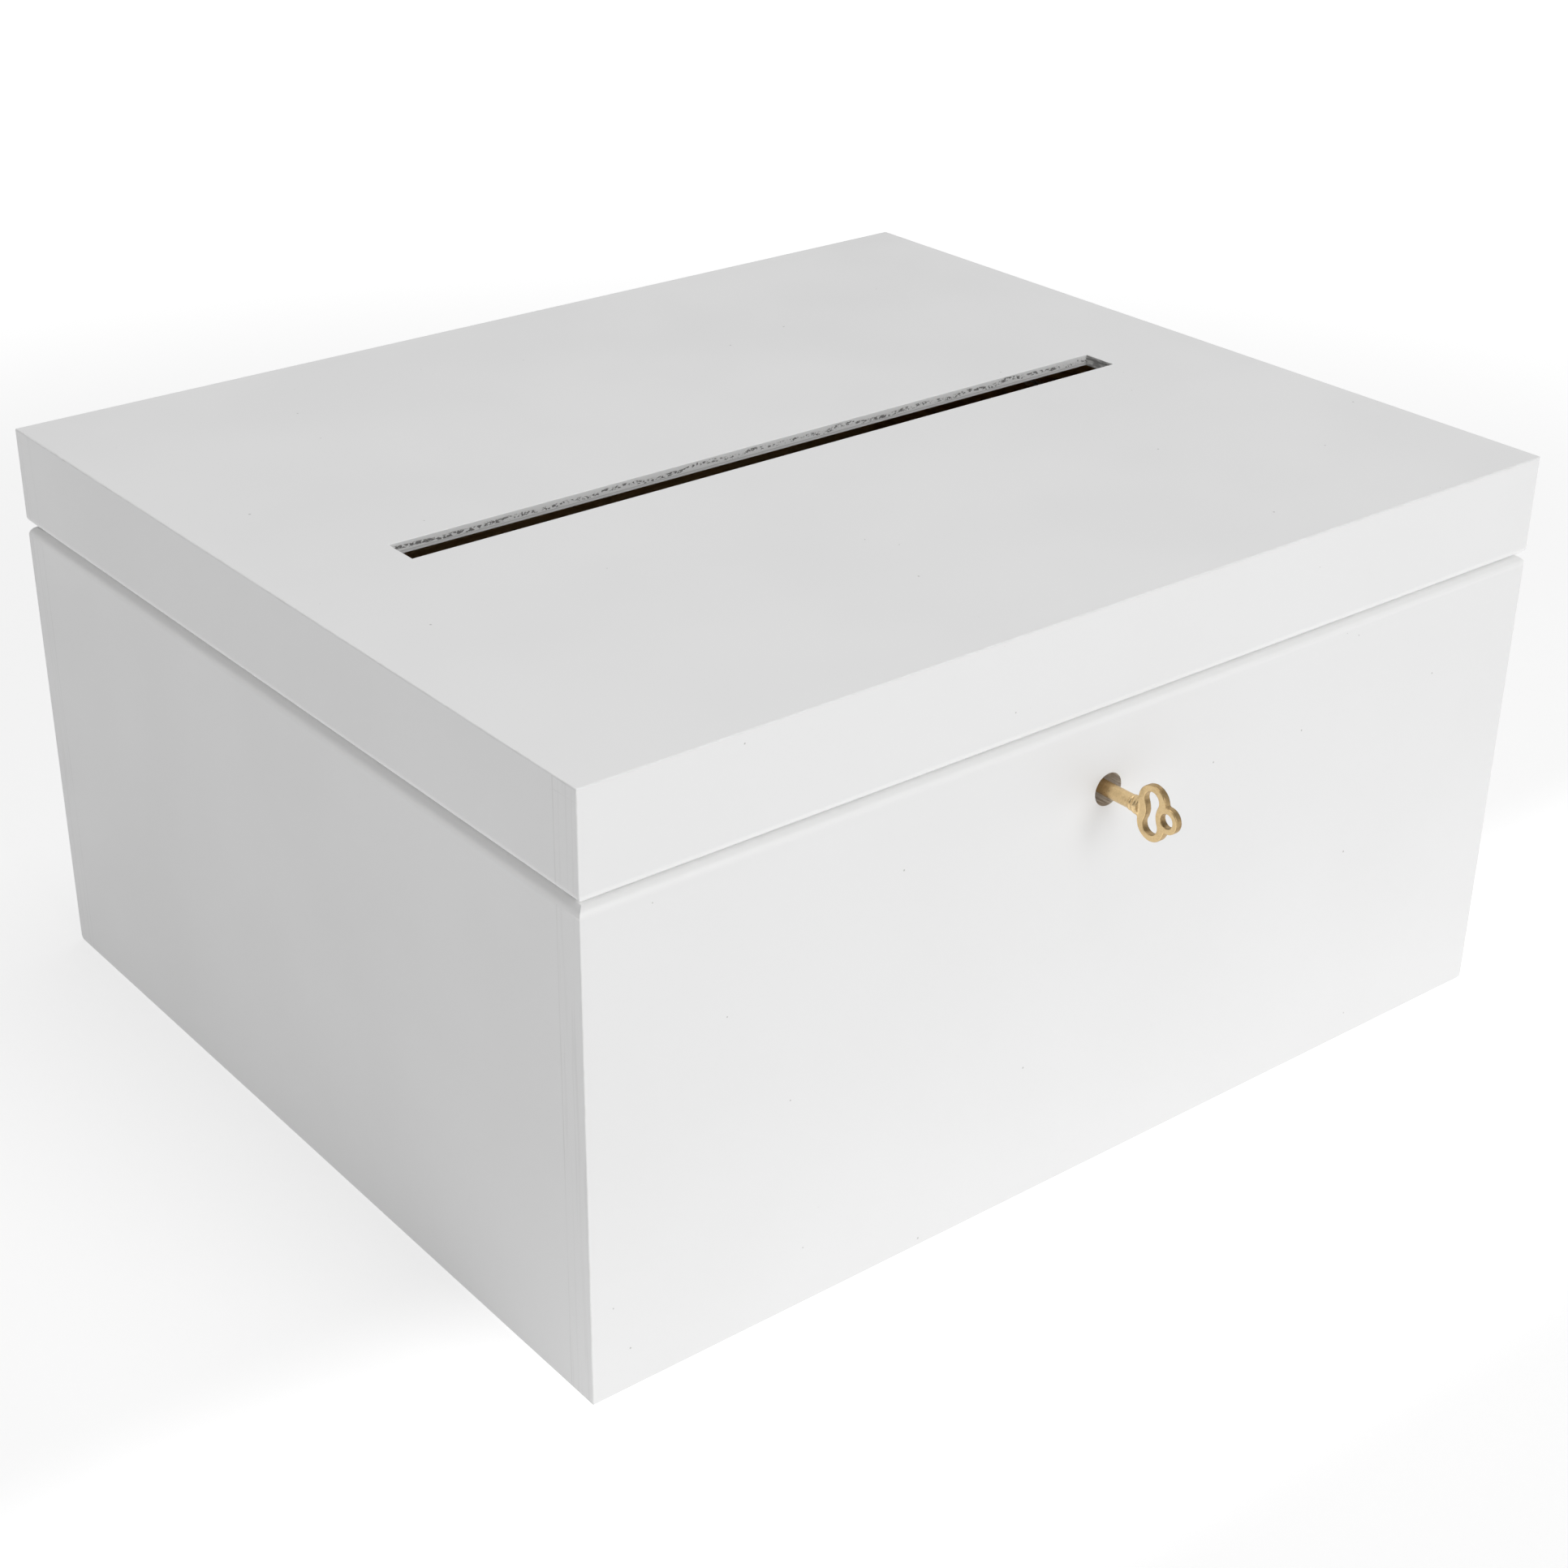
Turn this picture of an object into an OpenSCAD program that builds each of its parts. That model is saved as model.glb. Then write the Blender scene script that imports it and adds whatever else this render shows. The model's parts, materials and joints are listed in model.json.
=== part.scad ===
// Wedding card box: a hinged wooden box with a card slot in its lid, a box lock and a key.
// Millimetres, +Z up. The front, with the keyhole, faces -Y.
// The origin is on the face that the box rests on, under the middle of the box.

/* [Box] */
// Outer width, left to right
box_w = 290; // [260:1:340]
// Outer depth, front to back
box_d = 248; // [200:1:300]
// Outer height with the lid shut
box_h = 150; // [140:1:200]
// Height of the lid, from the seam to the top
lid_h = 26; // [24:1:36]
// Thickness of the side boards
board_t = 8; // [8:0.5:12]
// Thickness of the top and bottom panels
panel_t = 3; // [2.5:0.5:5]
// How far the bottom panel is let into the boards
rebate_w = 4; // [3:0.5:5]
// Open line between the lid and the box
seam_gap = 0.4; // [0.3:0.1:0.6]

/* [Rounded edges] */
// Upper outer edges of the box, below the seam
box_round = 3; // [1:0.5:3]
// Lower outer edges of the lid, above the seam
lid_round = 2.5; // [1:0.5:2.5]
// Bottom edges at the back and the right, sanded round
worn_round = 2.5; // [0.5:0.5:3]
// Upright corners at the right
corner_round = 1.3; // [0.5:0.1:3]
// Every other outer edge, only eased
crisp_round = 0.4; // [0.2:0.1:1]

/* [Card slot] */
// Length of the slot, left to right
slot_w = 221; // [180:1:230]
// Width of the slot, front to back
slot_d = 10; // [6:0.5:14]
// Middle of the slot, right of the middle of the box
slot_x = 0.5; // [-2:0.5:2]
// Middle of the slot, behind the middle of the box
slot_y = -4.4; // [-10:0.2:10]

/* [Hinges] */
// Width of each hinge
hinge_w = 25; // [20:1:30]
// Middle of each hinge, from the middle of the box
hinge_x = 95; // [70:1:110]
// How far the pin lies behind the back of the box
pin_out = 1.3; // [1.3:0.1:2]
// Outer diameter of the knuckles
barrel_d = 3.6; // [3:0.1:3.6]
// Diameter of the pin
pin_d = 1.6; // [1.2:0.1:2]
// Sheet thickness of the leaves
leaf_t = 0.9; // [0.7:0.1:1]
// Angle at which the stop wings meet
open_angle = 105; // [95:1:110]
// Reach of the stop wings from the pin
wing_reach = 6; // [5:0.5:7]

/* [Lock] */
// How far the key's axis lies below the seam
key_drop = 20.2; // [20:0.1:24]
// Diameter of the keyhole in the front board
keyhole_d = 8.2; // [8.1:0.1:8.8]
// Width of the lock plate, with its ears
plate_w = 50; // [48:1:56]
// Width of the lock case
case_w = 37; // [37:1:40]
// Depth of the lock from the board
case_t = 7; // [7:0.1:8]
// How far the bolt slides
throw = 6.5; // [6:0.1:6.5]

/* [Key] */
// Diameter of the shank
shank_d = 3.5; // [3:0.1:3.5]
// Height of the bow's two large lobes, outside
bow_h = 13.8; // [12:0.2:16]
// Thickness of the bow
bow_t = 1.8; // [1.4:0.1:2.4]
// Reach of the bow from the front of the box
bow_reach = 22.05; // [20:0.05:26]

/* [Hidden] */

$fn = 64;
white = "whitesmoke";
steel = "silver";
plated = "darkkhaki";
brass = "goldenrod";
eps = 0.02;          // ease of a screw, rivet or fixed pin in its hole
cut = 1;             // how far a cutting shape runs past what it cuts

// The box
front_y = -box_d / 2;
back_y = box_d / 2;
inside_w = box_w - 2 * board_t;
inside_d = box_d - 2 * board_t;
seam_z = box_h - lid_h;
base_top = seam_z - seam_gap / 2;
lid_low = seam_z + seam_gap / 2;
rail_top = box_h - panel_t;

// The hinges
pin_y = back_y + pin_out;
knuckles = 5;
knuckle_w = hinge_w / knuckles;
knuckle_gap = 0.15;
leaf_y = back_y - board_t + 1.2;
leaf_edge = pin_y - barrel_d / 2 - 0.25;
wing_start = barrel_d / 2 + 0.3;
wing_t = 0.9;
wing_root = 0.9;     // how far the wing's root runs into its knuckle
wing_lap = 0.4;      // and past the start of the wing
pin_head_t = 0.4;
pin_head_r = 1.35;
pin_edge_r = 1.26;
wing_angle = open_angle / 2 + 1;
running = 0.07;      // radial clearance of a knuckle that turns on the pin
hinge_screw_x = 8;
hinge_screw_y = leaf_y + 2.4;
hinge_screw_l = 10;

// The screws
screw_d = 2;
screw_head_d = 3.4;
screw_head_t = 0.7;
screw_tip = 2;
recess_w = 0.4;
pan_d = 4.2;
pan_t = 1.1;
wood_screw_l = 7;

// The lock. Depths are counted inward from the inner face of the front board.
lock_y = front_y + board_t;
key_z = seam_z - key_drop;
plate_t = 1;
wall_t = 0.8;
lock_low = key_z - 7.3;
lock_top = base_top - 0.3;
hub_r = keyhole_d / 2 + 0.4;
hub_clear = 0.05;
flange_r = 6;
flange_d0 = plate_t + 0.1;
flange_d1 = 2.5;
bolt_d0 = 2.7;
bolt_t = 1.5;
bolt_d1 = bolt_d0 + bolt_t;
crank_r = throw / (2 * sin(45));
crank_pin_r = 0.8;
crank_play = 0.25;
bit_r = 3.7;
bit_t = 1.2;
bore_r = 1;
drill_r = 0.9;
key_tip = 3.8;
bit_d0 = 0.1;
bit_d1 = 2.4;

// The bolt and the keeper's two tongues
bolt_low = key_z + 2.2;
bolt_high = key_z + 10.4;
rivet_r = 1;
rivet_z = key_z + 7.8;
rivet_x = [-6, 7];
guide_clear = 0.1;
tongue_x = [-6, 8];
tongue_t = 1.5;
tongue_low = bolt_high + 0.6;
tongue_d0 = 1.5;
tongue_d1 = 5.7;
tongue_gap = 0.55;
finger_h = 2;
finger_z = tongue_low + 3.2;
post_w = 2.4;
keeper_w = 34;
keeper_z = lid_low + 2.3;
keeper_h = 11.5;
keeper_screw_x = 11;
keeper_screw_z = keeper_z + 7;
lock_screw_x = (plate_w + case_w) / 4;
lock_screw_z = [lock_low + 5, lock_top - 6];

// The key. Reaches are counted outward from the front of the box.
lobe_r = 4.15;
lobe_h = bow_h / 2 - lobe_r;
tip_r = 3.15;
tip_hole_r = 1.75;
tip_s = bow_reach - tip_r;
lobe_s = tip_s - 4.7;
eye_r = 2.15;
eye_h = 3.15;
eye_wall = tip_hole_r + 1.65;
neck_s = lobe_s - 5.4;
neck_l = 5;
neck_h = shank_d + 0.7;
collar_l = 1;
collar_r = shank_d / 2 + 0.3;
bulge_s = lobe_s - 3.8;
bulge_r = 2.2;
eye_low_s = lobe_s - 1.9;
eye_high_s = lobe_s + 1.7;
notch_depth = 0.9;

// ---- helpers ----

// The waste outside a rounded corner whose sharp point is at the origin
module corner_waste(r) {
    difference() {
        translate([-cut, -cut]) square(r + cut);
        translate([r, r]) circle(r);
    }
}

// A rectangle from the origin; radii run low left, low right, high right, high left
module eased_rect(w, h, radii) {
    difference() {
        square([w, h]);
        corner_waste(radii[0]);
        translate([w, 0]) mirror([1, 0]) corner_waste(radii[1]);
        translate([w, h]) rotate(180) corner_waste(radii[2]);
        translate([0, h]) mirror([0, 1]) corner_waste(radii[3]);
    }
}

// The outer form between two heights, rounded in plan, in front view and in side view
module outer_form(z0, z1, front_radii, side_radii) {
    h = z1 - z0;
    plan_radii = [crisp_round, corner_round, corner_round, crisp_round];
    intersection() {
        translate([-box_w / 2, front_y, z0])
            linear_extrude(h) eased_rect(box_w, box_d, plan_radii);
        rotate([90, 0, 0]) linear_extrude(box_d + 2 * cut, center = true)
            translate([-box_w / 2, z0]) eased_rect(box_w, h, front_radii);
        rotate([90, 0, 90]) linear_extrude(box_w + 2 * cut, center = true)
            translate([front_y, z0]) eased_rect(box_d, h, side_radii);
    }
}

module base_form() {
    radii = [crisp_round, worn_round, box_round, box_round];
    outer_form(0, base_top, radii, radii);
}

module lid_form() {
    radii = [lid_round, lid_round, crisp_round, crisp_round];
    outer_form(lid_low, box_h, radii, radii);
}

// A block that keeps one side of the form: 0 front, 1 back, 2 left, 3 right
module side_block(side, z0, z1) {
    h = z1 - z0;
    if (side == 0) translate([-box_w / 2, front_y, z0]) cube([box_w, board_t, h]);
    if (side == 1) translate([-box_w / 2, back_y - board_t, z0]) cube([box_w, board_t, h]);
    if (side == 2) translate([-box_w / 2, -inside_d / 2, z0]) cube([board_t, inside_d, h]);
    if (side == 3) translate([inside_w / 2, -inside_d / 2, z0]) cube([board_t, inside_d, h]);
}

module bottom_rebate() {
    translate([-inside_w / 2 - rebate_w, -inside_d / 2 - rebate_w, -cut])
        cube([inside_w + 2 * rebate_w, inside_d + 2 * rebate_w, panel_t + cut]);
}

module base_side(side) {
    difference() {
        intersection() {
            base_form();
            side_block(side, 0, base_top);
        }
        bottom_rebate();
    }
}

module lid_side(side) {
    intersection() {
        lid_form();
        side_block(side, lid_low, rail_top);
    }
}

// A cylinder along +Y, from the lock's depth d0 to d1, at x and z
module lock_rod(x, z, r, d0, d1) {
    translate([x, lock_y + d0, z]) rotate([-90, 0, 0]) cylinder(h = d1 - d0, r = r);
}

// A block in the lock: x, depth and z each run from the first value to the second
module lock_block(x, d, z) {
    translate([x[0], lock_y + d[0], z[0]]) cube([x[1] - x[0], d[1] - d[0], z[1] - z[0]]);
}

// A cross recess in a screw head whose top is at z = 0
module cross_recess() {
    for (turn = [0, 90])
        rotate(turn) translate([-screw_d / 2, -recess_w / 2, -recess_w])
            cube([screw_d, recess_w, recess_w + cut]);
}

// A countersunk wood screw that points down, its head flush with z = 0
module flat_screw(l) {
    core = screw_d / 2;
    difference() {
        union() {
            translate([0, 0, -screw_head_t])
                cylinder(h = screw_head_t, r1 = core, r2 = screw_head_d / 2);
            translate([0, 0, -l + screw_tip]) cylinder(h = l - screw_tip, r = core);
            translate([0, 0, -l]) cylinder(h = screw_tip, r1 = 0.2, r2 = core);
        }
        cross_recess();
    }
}

// What a countersunk screw cuts out of the leaf and the wood
module flat_screw_hole(l) {
    core = screw_d / 2 + eps;
    translate([0, 0, -screw_head_t - eps])
        cylinder(h = screw_head_t + 2 * eps, r1 = core, r2 = screw_head_d / 2 + 2 * eps);
    translate([0, 0, -l - eps]) cylinder(h = l + cut, r = core);
}

// A round-headed wood screw that points down, the head's seat at z = 0
module pan_screw(l) {
    core = screw_d / 2;
    crown_r = pan_d * 0.75;
    difference() {
        union() {
            intersection() {
                cylinder(h = pan_t, r = pan_d / 2);
                translate([0, 0, pan_t - crown_r]) sphere(crown_r);
            }
            translate([0, 0, -l + screw_tip]) cylinder(h = l - screw_tip + 0.1, r = core);
            translate([0, 0, -l]) cylinder(h = screw_tip, r1 = 0.2, r2 = core);
        }
        translate([0, 0, pan_t]) cross_recess();
    }
}

// Places of the screws: each puts its children at one screw, the head's seat at z = 0
module at_hinge_screws(x, z, up) {
    for (dx = [-hinge_screw_x, hinge_screw_x])
        translate([x + dx, hinge_screw_y, z]) rotate([up ? 180 : 0, 0, 0]) children();
}

module at_lock_screws() {
    for (x = [-lock_screw_x, lock_screw_x], z = lock_screw_z)
        translate([x, lock_y + plate_t, z]) rotate([-90, 0, 0]) children();
}

module at_keeper_screws() {
    for (x = [-keeper_screw_x, keeper_screw_x])
        translate([x, lock_y + plate_t, keeper_screw_z]) rotate([-90, 0, 0]) children();
}

module pan_screw_hole() {
    translate([0, 0, -wood_screw_l - eps])
        cylinder(h = wood_screw_l + cut, r = screw_d / 2 + eps);
}

// ---- wooden box ----

module base_front_board() {
    color(white) difference() {
        base_side(0);
        translate([0, front_y - cut, key_z])
            rotate([-90, 0, 0]) cylinder(h = board_t + 2 * cut, r = keyhole_d / 2);
        at_lock_screws() pan_screw_hole();
    }
}

module base_back_board() {
    color(white) difference() {
        base_side(1);
        for (x = [-hinge_x, hinge_x]) {
            translate([x - hinge_w / 2, leaf_y, base_top - leaf_t])
                cube([hinge_w, board_t, leaf_t + cut]);
            at_hinge_screws(x, base_top, false) flat_screw_hole(hinge_screw_l);
        }
    }
}

module base_left_board() {
    color(white) base_side(2);
}

module base_right_board() {
    color(white) base_side(3);
}

module base_bottom_panel() {
    color(white) translate([-inside_w / 2 - rebate_w, -inside_d / 2 - rebate_w, 0])
        cube([inside_w + 2 * rebate_w, inside_d + 2 * rebate_w, panel_t]);
}

// ---- wooden lid ----

module lid_front_rail() {
    color(white) difference() {
        lid_side(0);
        at_keeper_screws() pan_screw_hole();
    }
}

module lid_back_rail() {
    color(white) difference() {
        lid_side(1);
        for (x = [-hinge_x, hinge_x]) {
            translate([x - hinge_w / 2, leaf_y, lid_low - cut])
                cube([hinge_w, board_t, leaf_t + cut]);
            at_hinge_screws(x, lid_low, true) flat_screw_hole(hinge_screw_l);
        }
    }
}

module lid_left_rail() {
    color(white) lid_side(2);
}

module lid_right_rail() {
    color(white) lid_side(3);
}

module lid_top_panel() {
    color(white) difference() {
        intersection() {
            lid_form();
            translate([-box_w / 2, front_y, rail_top]) cube([box_w, box_d, panel_t]);
        }
        translate([slot_x - slot_w / 2, slot_y - slot_d / 2, rail_top - cut])
            cube([slot_w, slot_d, panel_t + 2 * cut]);
    }
}

// ---- hinges ----

module rotate_about_pin(a) {
    translate([0, pin_y, seam_z]) rotate([a, 0, 0]) children();
}

// One knuckle, counted from the left, with its neck to the leaf and its root of the wing
module knuckle(x, i, leaf_z, turn, wing_z) {
    x0 = x - hinge_w / 2 + i * knuckle_w + (i > 0 ? knuckle_gap : 0);
    x1 = x - hinge_w / 2 + (i + 1) * knuckle_w - (i < knuckles - 1 ? knuckle_gap : 0);
    translate([x0, pin_y, seam_z]) rotate([0, 90, 0]) cylinder(h = x1 - x0, d = barrel_d);
    translate([x0, leaf_edge - 0.5, leaf_z]) cube([x1 - x0, pin_y - leaf_edge + 0.5, leaf_t]);
    rotate_about_pin(turn) translate([x0, wing_start - wing_root, wing_z])
        cube([x1 - x0, wing_root + wing_lap, wing_t]);
}

// A leaf with its knuckles and its stop wing; first is the first knuckle that it owns
module leaf(x, first, leaf_z, turn, wing_z, clearance) {
    difference() {
        union() {
            translate([x - hinge_w / 2, leaf_y, leaf_z])
                cube([hinge_w, leaf_edge - leaf_y, leaf_t]);
            for (i = [first : 2 : knuckles - 1]) knuckle(x, i, leaf_z, turn, wing_z);
            rotate_about_pin(turn) translate([x - hinge_w / 2, wing_start, wing_z])
                cube([hinge_w, wing_reach - wing_start, wing_t]);
        }
        translate([x - hinge_w, pin_y, seam_z])
            rotate([0, 90, 0]) cylinder(h = 2 * hinge_w, r = pin_d / 2 + clearance);
    }
}

module hinge_base_leaf(x) {
    color(plated) difference() {
        leaf(x, 0, base_top - leaf_t, -wing_angle, -wing_t, eps);
        at_hinge_screws(x, base_top, false) flat_screw_hole(hinge_screw_l);
    }
}

module hinge_lid_leaf(x) {
    color(plated) difference() {
        leaf(x, 1, lid_low, wing_angle, 0, running);
        at_hinge_screws(x, lid_low, true) flat_screw_hole(hinge_screw_l);
    }
}

// The pin, with a peened head at each end
module hinge_pin(x) {
    color(steel) translate([x - hinge_w / 2, pin_y, seam_z]) rotate([0, 90, 0]) union() {
        translate([0, 0, -pin_head_t]) cylinder(h = hinge_w + 2 * pin_head_t, r = pin_d / 2);
        translate([0, 0, -pin_head_t])
            cylinder(h = pin_head_t, r1 = pin_edge_r, r2 = pin_head_r);
        translate([0, 0, hinge_w])
            cylinder(h = pin_head_t, r1 = pin_head_r, r2 = pin_edge_r);
    }
}

module hinge_base_leaf_left() {
    hinge_base_leaf(-hinge_x);
}

module hinge_base_leaf_right() {
    hinge_base_leaf(hinge_x);
}

module hinge_lid_leaf_left() {
    hinge_lid_leaf(-hinge_x);
}

module hinge_lid_leaf_right() {
    hinge_lid_leaf(hinge_x);
}

module hinge_pin_left() {
    hinge_pin(-hinge_x);
}

module hinge_pin_right() {
    hinge_pin(hinge_x);
}

module hinge_base_screws() {
    color(steel) for (x = [-hinge_x, hinge_x])
        at_hinge_screws(x, base_top, false) flat_screw(hinge_screw_l);
}

module hinge_lid_screws() {
    color(steel) for (x = [-hinge_x, hinge_x])
        at_hinge_screws(x, lid_low, true) flat_screw(hinge_screw_l);
}

// ---- lock ----

// The plate against the board, with the top strip that the keeper's tongues pass through
module lock_plate() {
    slot_half = tongue_t / 2 + 0.4;
    color(plated) difference() {
        union() {
            lock_block([-plate_w / 2, plate_w / 2], [0, plate_t], [lock_low, lock_top]);
            lock_block([-case_w / 2, case_w / 2], [0, case_t], [lock_top - 1, lock_top]);
        }
        lock_rod(0, key_z, hub_r + hub_clear, -cut, plate_t + cut);
        for (x = rivet_x) lock_rod(x, rivet_z, rivet_r + eps, -cut, plate_t + cut);
        for (x = tongue_x)
            lock_block([x - slot_half, x + slot_half], [plate_t, tongue_d1 + 0.4],
                       [lock_top - 1 - cut, lock_top + cut]);
        at_lock_screws() pan_screw_hole();
    }
}

// The pressed cover that closes the lock on the inside of the box
module lock_cover() {
    high = lock_top - 1;
    half = case_w / 2;
    color(plated) difference() {
        lock_block([-half, half], [plate_t, case_t], [lock_low, high]);
        lock_block([wall_t - half, half - wall_t], [0, case_t - wall_t],
                   [lock_low + wall_t, high + cut]);
        lock_rod(0, key_z, drill_r + eps, 0, case_t + cut);
        for (x = rivet_x) lock_rod(x, rivet_z, rivet_r + eps, 0, case_t + cut);
    }
}

// Two rivets hold the cover to the plate and guide the bolt
module lock_rivets() {
    color(steel) for (x = rivet_x) {
        lock_rod(x, rivet_z, rivet_r, 0.1, case_t + 0.1);
        lock_rod(x, rivet_z, 1.6, case_t, case_t + 0.5);
    }
}

// The post that the hollow key fits over
module lock_drill_pin() {
    color(steel) union() {
        lock_rod(0, key_z, drill_r, -3, case_t + 0.1);
        lock_rod(0, key_z, 1.5, case_t, case_t + 0.4);
    }
}

// A bowed strip that presses the bolt against the rotor, so that it stays where it is put
module lock_spring() {
    crown_x = 9.2;
    crown_half = 1;
    foot_half = 5.2;
    strip_t = 0.35;
    near = bolt_d1 + 0.05;
    far = case_t - wall_t;
    color(steel) translate([crown_x, lock_y, key_z + 2.7]) linear_extrude(2.6) polygon([
        [-foot_half, far], [-crown_half, near], [crown_half, near], [foot_half, far],
        [foot_half - 1.2, far], [crown_half, near + strip_t],
        [-crown_half, near + strip_t], [1.2 - foot_half, far]
    ]);
}

// The hub that the key turns, with the crank pin that drives the bolt
module lock_rotor() {
    color(steel) difference() {
        union() {
            lock_rod(0, key_z, hub_r, 0.05, flange_d0 + 0.1);
            lock_rod(0, key_z, flange_r, flange_d0, flange_d1);
            lock_rod(-crank_r * sin(45), key_z + crank_r * cos(45), crank_pin_r,
                     flange_d1 - 0.5, bolt_d1 + 0.3);
        }
        lock_rod(0, key_z, shank_d / 2 + 0.05, -cut, flange_d1 + cut);
        lock_block([-bit_t / 2 - 0.15, bit_t / 2 + 0.15], [-cut, flange_d1 + cut],
                   [key_z - bit_r - 0.15, key_z]);
    }
}

// The sliding bolt, with a finger for each of the keeper's tongues
module lock_bolt() {
    left = rivet_x[0] - throw - rivet_r - 2.8;
    right = rivet_x[1] + rivet_r + 2.2;
    crank_x = -crank_r * sin(45);
    crank_half = crank_pin_r + crank_play;
    slot_h = rivet_r + guide_clear;
    depth = [bolt_d0, bolt_d1];
    finger_top = finger_z + finger_h / 2;
    color(brass) difference() {
        union() {
            lock_block([left, right], depth, [bolt_low, bolt_high]);
            for (x = tongue_x) {
                post_end = x - tongue_t / 2 - 0.3 - throw;
                tip = x - tongue_t / 2 - tongue_gap;
                lock_block([post_end - post_w, post_end], depth, [bolt_low + 5, finger_top]);
                lock_block([post_end - post_w, tip], depth, [finger_z - finger_h / 2, finger_top]);
            }
        }
        lock_block([crank_x - crank_half, crank_x + crank_half], [bolt_d0 - cut, bolt_d1 + cut],
                   [bolt_low - cut, key_z + crank_r + crank_pin_r + 0.3]);
        for (x = rivet_x) {
            lock_block([x - throw, x], [bolt_d0 - cut, bolt_d1 + cut],
                       [rivet_z - slot_h, rivet_z + slot_h]);
            lock_rod(x, rivet_z, slot_h, bolt_d0 - cut, bolt_d1 + cut);
            lock_rod(x - throw, rivet_z, slot_h, bolt_d0 - cut, bolt_d1 + cut);
        }
    }
}

module lock_screws() {
    color(steel) at_lock_screws() pan_screw(wood_screw_l);
}

// The keeper on the lid: a bracket with two tongues, each with a hole for a finger
module keeper_plate() {
    half = keeper_w / 2;
    ledge = tongue_d1 + 0.5;
    color(plated) difference() {
        union() {
            lock_block([-half, half], [0, plate_t], [keeper_z, keeper_z + keeper_h]);
            lock_block([-half, half], [0, ledge], [keeper_z, keeper_z + plate_t]);
            for (x = tongue_x)
                lock_block([x - tongue_t / 2, x + tongue_t / 2], [tongue_d0, tongue_d1],
                           [tongue_low, keeper_z + 0.5]);
        }
        for (x = tongue_x)
            lock_block([x - tongue_t, x + tongue_t], [bolt_d0 - 0.35, bolt_d1 + 0.35],
                       [finger_z - finger_h / 2 - 0.4, finger_z + finger_h / 2 + 0.4]);
        at_keeper_screws() pan_screw_hole();
    }
}

module keeper_screws() {
    color(steel) at_keeper_screws() pan_screw(wood_screw_l);
}

// ---- key ----

// The bow seen from the side: x is the reach from the box, y the height over the key's axis
module bow_outline() {
    difference() {
        union() {
            for (h = [-lobe_h, lobe_h]) translate([lobe_s, h]) circle(lobe_r);
            translate([tip_s, 0]) circle(tip_r);
            translate([neck_s, -neck_h / 2]) square([neck_l, neck_h]);
        }
        translate([tip_s, 0]) circle(tip_hole_r);
        bow_eye();
    }
}

// The bean-shaped opening through the two large lobes
module bow_eye() {
    difference() {
        union() {
            for (h = [-eye_h, eye_h]) translate([lobe_s - 0.1, h]) circle(eye_r);
            translate([eye_low_s, -eye_h]) square([eye_high_s - eye_low_s, 2 * eye_h]);
        }
        translate([tip_s, 0]) circle(eye_wall);
        translate([bulge_s, 0]) circle(bulge_r);
    }
}

// A cylinder of the key, from the reach s0 to s1; a negative reach is inside the box
module key_rod(r, s0, s1) {
    translate([0, front_y - s0, key_z]) rotate([90, 0, 0]) cylinder(h = s1 - s0, r = r);
}

module key() {
    color(brass) difference() {
        union() {
            translate([0, front_y, key_z]) rotate([90, 0, -90])
                linear_extrude(bow_t, center = true) bow_outline();
            key_rod(shank_d / 2, -board_t - key_tip, neck_s + collar_l + 0.2);
            key_rod(collar_r, neck_s, neck_s + collar_l);
            lock_block([-bit_t / 2, bit_t / 2], [bit_d0, bit_d1], [key_z - bit_r, key_z]);
        }
        key_rod(bore_r, -board_t - key_tip - cut, -board_t + 3.4);
        lock_block([-bit_t, bit_t], [1, 1.6], [key_z - bit_r - cut, key_z - bit_r + notch_depth]);
    }
}

base_front_board();
base_back_board();
base_left_board();
base_right_board();
base_bottom_panel();
lid_front_rail();
lid_back_rail();
lid_left_rail();
lid_right_rail();
lid_top_panel();
hinge_base_leaf_left();
hinge_base_leaf_right();
hinge_lid_leaf_left();
hinge_lid_leaf_right();
hinge_pin_left();
hinge_pin_right();
hinge_base_screws();
hinge_lid_screws();
lock_plate();
lock_cover();
lock_rivets();
lock_drill_pin();
lock_spring();
lock_rotor();
lock_bolt();
lock_screws();
keeper_plate();
keeper_screws();
key();
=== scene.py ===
"""Looks of the wedding card box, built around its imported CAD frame. Metres, in the frame's own axes."""
import json
import math

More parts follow.
